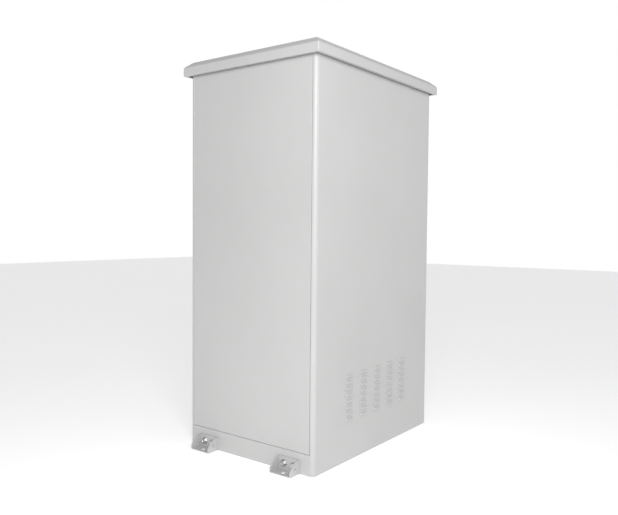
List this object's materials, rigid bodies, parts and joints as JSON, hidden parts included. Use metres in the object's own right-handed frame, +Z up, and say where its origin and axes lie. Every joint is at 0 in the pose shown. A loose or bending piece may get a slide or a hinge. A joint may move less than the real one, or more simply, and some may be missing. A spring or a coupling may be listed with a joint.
{
  "type": "roadside utility cabinet",
  "caption": "Tall folded-steel outdoor cabinet with raised rain hood, louvred side, hinged front door with rod lock, rear panel, inner rack, roof fans and anchor brackets.",
  "frame": {"origin": "bottom centre of the footprint, on the ground", "axes": "+Z up, -Y to the door side, +X to the right of someone facing the door"},
  "size_m": [0.706, 1.016, 1.621],
  "materials": {
    "body_paint": "satin light grey powder coat",
    "galvanised_steel": "galvanised sheet",
    "zinc_steel": "zinc plated",
    "black_plastic": "fine texture",
    "seal_rubber": "matt foam seal",
    "filter_fleece": "coarse fleece",
    "pale_plastic": "smooth",
    "copper": "bare copper",
    "red_insulator": "moulded resin"
  },
  "bodies": {
    "cabinet": {"sill_rails": "body_paint", "side_rails": "body_paint", "corner_posts": "body_paint", "head_frame": "body_paint", "side_wall_left": "body_paint", "side_wall_right": "body_paint", "rain_hood": "body_paint", "breaker_panel": "body_paint", "rear_panel": "body_paint", "anchor_brackets": "body_paint", "floor_plate": "galvanised_steel", "gland_plate": "galvanised_steel", "roof_deck": "galvanised_steel", "depth_rail_left_low": "galvanised_steel", "depth_rail_left_top": "galvanised_steel", "depth_rail_right_low": "galvanised_steel", "depth_rail_right_top": "galvanised_steel", "rack_rail_front_left": "galvanised_steel", "rack_rail_front_right": "galvanised_steel", "rack_rail_rear_left": "galvanised_steel", "rack_rail_rear_right": "galvanised_steel", "equipment_shelf": "galvanised_steel", "filter_frame": "galvanised_steel", "hood_spacers": "zinc_steel", "roof_fixings": "zinc_steel", "rack_fixings": "zinc_steel", "din_rail": "zinc_steel", "fan_guards": "zinc_steel", "rear_panel_screws": "zinc_steel", "bracket_bolts": "zinc_steel", "bracket_washers": "zinc_steel", "bracket_nuts": "zinc_steel", "hinge_frame_leaves": "zinc_steel", "hinge_pins": "zinc_steel", "cable_glands": "black_plastic", "gland_nuts": "black_plastic", "power_strip": "black_plastic", "fan_housing_front": "black_plastic", "fan_housing_rear": "black_plastic", "rear_gasket": "seal_rubber", "filter_mat": "filter_fleece", "main_breaker": "pale_plastic", "earth_bar": "copper", "earth_bar_stands": "red_insulator"},
    "door": {"door_leaf": "body_paint", "door_stiffeners": "body_paint", "door_gasket": "seal_rubber", "document_pocket": "galvanised_steel", "hinge_door_leaves": "zinc_steel", "handle_plate": "black_plastic", "lock_case": "zinc_steel"},
    "spindle": {"handle_spindle": "zinc_steel", "lever_pin": "zinc_steel"},
    "lever": {"handle_lever": "black_plastic"},
    "key": {"key_plug": "zinc_steel"},
    "rod_upper": {"lock_rod_upper": "zinc_steel"},
    "rod_lower": {"lock_rod_lower": "zinc_steel"},
    "fan_front": {"fan_rotor_front": "black_plastic"},
    "fan_rear": {"fan_rotor_rear": "black_plastic"},
    "toggle": {"breaker_toggle": "black_plastic"}
  },
  "joints": [
    {"name": "door_hinge", "type": "hinge", "parent": "cabinet", "child": "door", "pos_m": [0.308, -0.4565, 0.82], "axis": [0, 0, 1], "range_deg": [0, 120]},
    {"name": "handle_turn", "type": "hinge", "parent": "door", "child": "spindle", "pos_m": [-0.262, -0.45, 0.98], "axis": [0, -1, 0], "range_deg": [0, 90]},
    {"name": "handle_lift", "type": "hinge", "parent": "spindle", "child": "lever", "pos_m": [-0.262, -0.467, 0.98], "axis": [-1, 0, 0], "range_deg": [0, 35]},
    {"name": "key_turn", "type": "hinge", "parent": "door", "child": "key", "pos_m": [-0.262, -0.45, 0.788], "axis": [0, -1, 0], "range_deg": [0, 90]},
    {"name": "rod_upper_slide", "type": "slide", "parent": "door", "child": "rod_upper", "axis": [0, 0, 1], "range_m": [-0.019, 0]},
    {"name": "rod_lower_slide", "type": "slide", "parent": "door", "child": "rod_lower", "axis": [0, 0, 1], "range_m": [0, 0.019]},
    {"name": "fan_front_spin", "type": "hinge", "parent": "cabinet", "child": "fan_front", "pos_m": [0, -0.16, 1.55], "axis": [0, 0, 1], "continuous": true},
    {"name": "fan_rear_spin", "type": "hinge", "parent": "cabinet", "child": "fan_rear", "pos_m": [0, 0.16, 1.55], "axis": [0, 0, 1], "continuous": true},
    {"name": "breaker_toggle_flip", "type": "hinge", "parent": "cabinet", "child": "toggle", "pos_m": [0, -0.3455, 1.38682], "axis": [1, 0, 0], "range_deg": [0, 50]}
  ],
  "couplings": [
    {"joint": "rod_upper_slide", "follows": "handle_turn", "m_per_rad": -0.012},
    {"joint": "rod_lower_slide", "follows": "handle_turn", "m_per_rad": 0.012}
  ]
}
